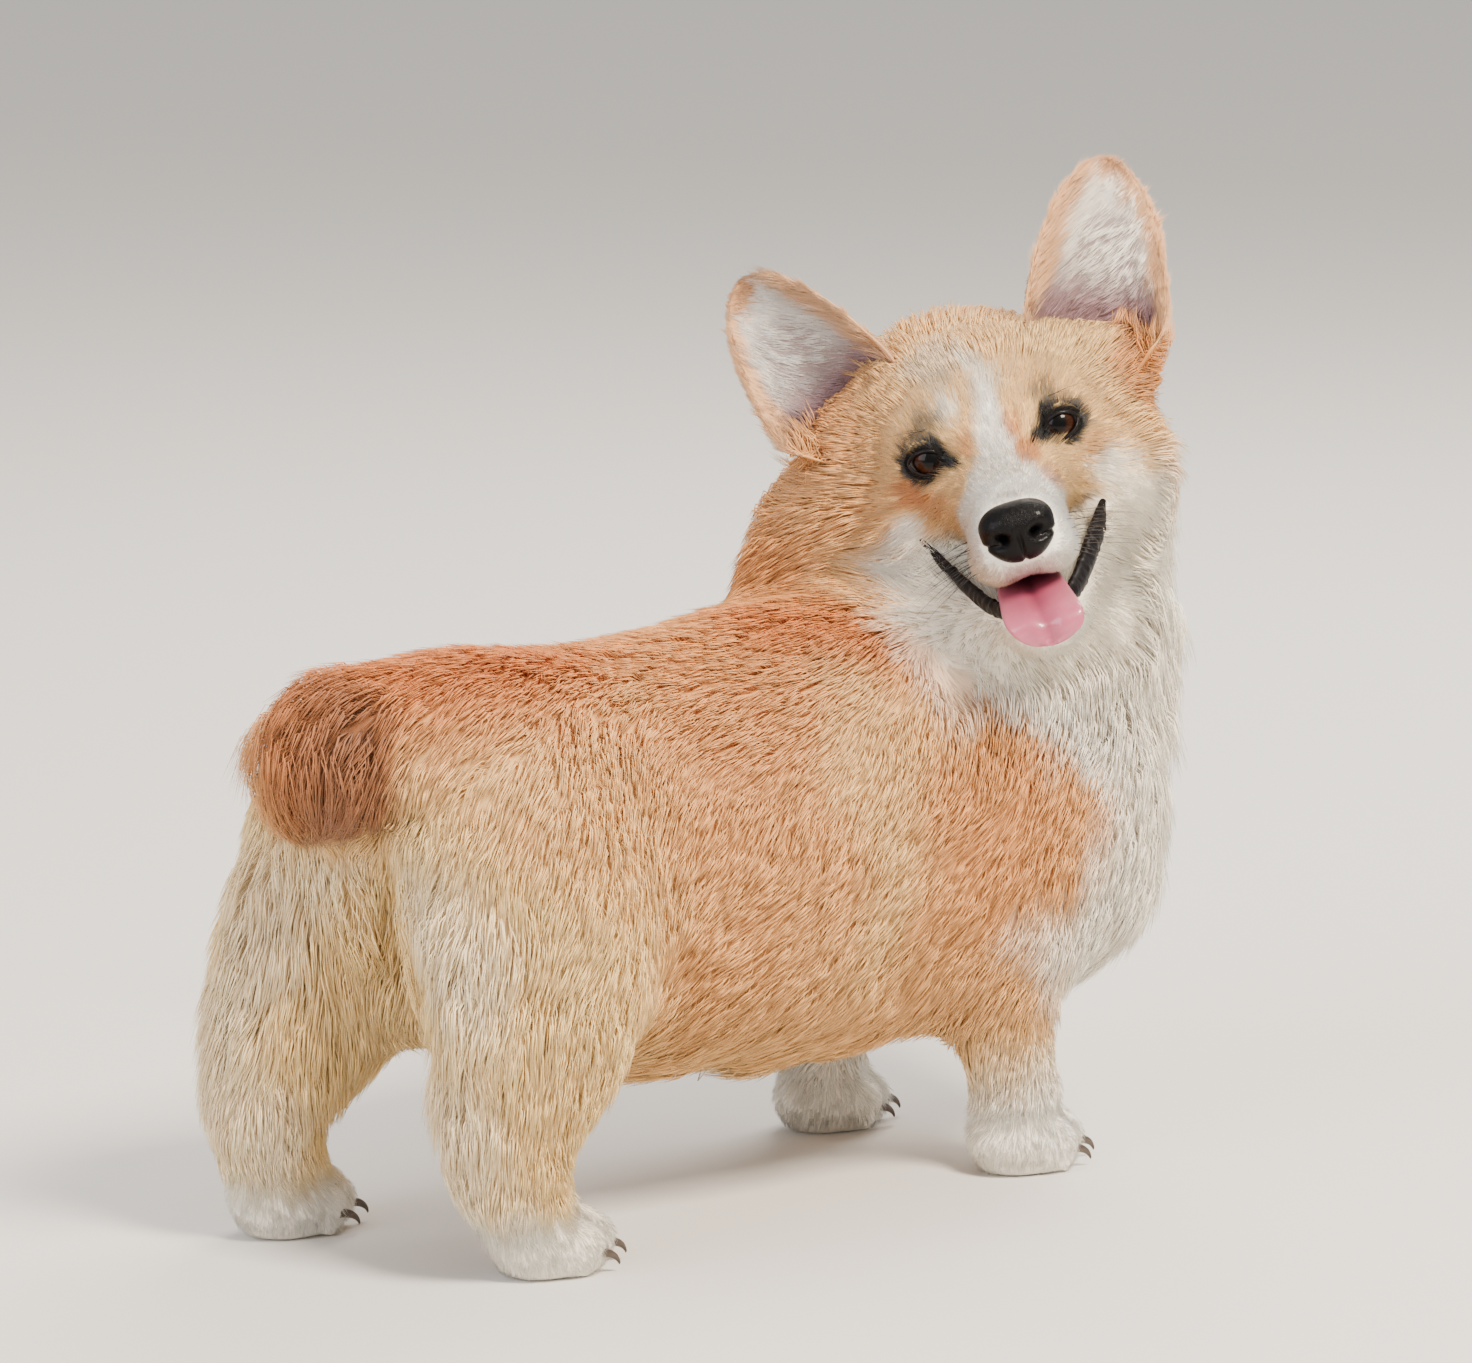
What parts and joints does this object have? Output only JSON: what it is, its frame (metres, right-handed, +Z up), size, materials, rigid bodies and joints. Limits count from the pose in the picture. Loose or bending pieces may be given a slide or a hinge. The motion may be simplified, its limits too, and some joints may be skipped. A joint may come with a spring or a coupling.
{
  "type": "pembroke welsh corgi",
  "caption": "Life-size still model of a standing Pembroke Welsh Corgi, red and white, with a docked tail, looking back over its right side with open mouth and tongue out",
  "frame": {"origin": "on the floor under the middle of the whole animal's box, soles at z = 0", "axes": "+X towards the chest end, +Y to the animal's left, +Z up"},
  "size_m": [0.5496, 0.2646, 0.48],
  "materials": {
    "coat_red": "red to apricot double coat, soft and matte",
    "coat_cream": "short cream and orange fur of the face",
    "coat_white": "white fur",
    "nose_leather": "damp black pebbled skin",
    "tongue": "wet pink tongue",
    "eye": "dark brown glossy eye"
  },
  "bodies": {
    "root": {"torso": "coat_red", "neck": "coat_red", "tail": "coat_red", "thigh_left": "coat_red", "thigh_right": "coat_red", "foreleg_left": "coat_red", "foreleg_right": "coat_red", "head": "coat_cream", "jaw": "coat_white", "ear_left": "coat_red", "ear_right": "coat_red", "forepaw_left": "coat_white", "forepaw_right": "coat_white", "hindpaw_left": "coat_white", "hindpaw_right": "coat_white", "nose": "nose_leather", "tongue": "tongue", "eye_left": "eye", "eye_right": "eye"}
  },
  "joints": []
}
